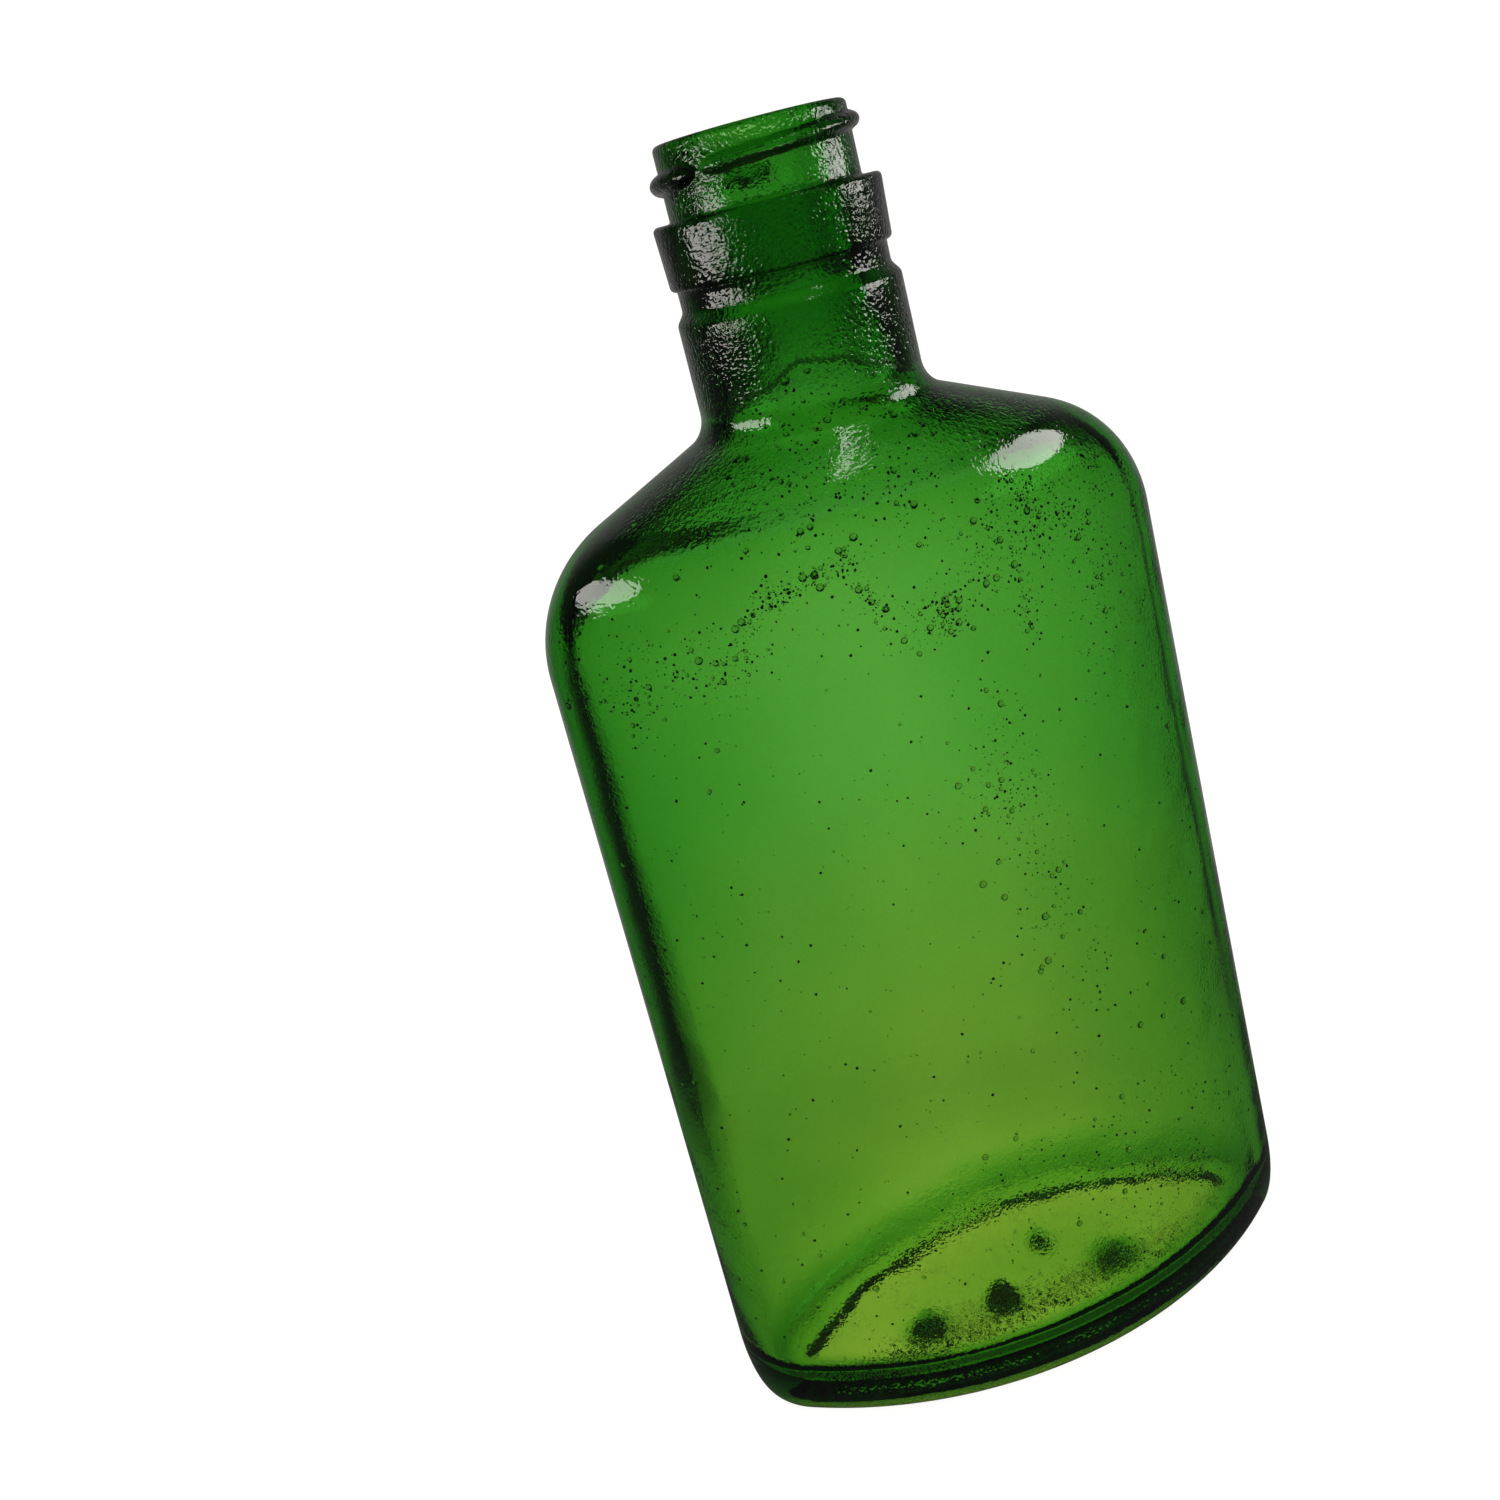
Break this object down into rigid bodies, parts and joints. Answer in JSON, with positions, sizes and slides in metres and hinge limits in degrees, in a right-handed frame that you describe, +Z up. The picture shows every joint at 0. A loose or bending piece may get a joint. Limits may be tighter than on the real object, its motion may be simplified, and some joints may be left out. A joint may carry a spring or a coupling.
{
  "type": "antique glass bottle",
  "caption": "Flat oval green glass flask with rounded shoulders, short neck, collar and an open screw-thread mouth.",
  "frame": {"origin": "on the standing surface, below the middle of the neck", "axes": "+X across the width, to the right seen from the front; -Y out of the front panel; +Z up along the neck"},
  "size_m": [0.086, 0.044, 0.171],
  "materials": {
    "glass": "glossy, slightly pitted"
  },
  "bodies": {
    "root": {"lip": "glass", "cap_thread": "glass", "finish_wall": "glass", "collar": "glass", "neck_groove": "glass", "neck": "glass", "shoulder": "glass", "front_panel": "glass", "back_panel": "glass", "left_edge": "glass", "right_edge": "glass", "heel": "glass", "base": "glass"}
  },
  "joints": []
}
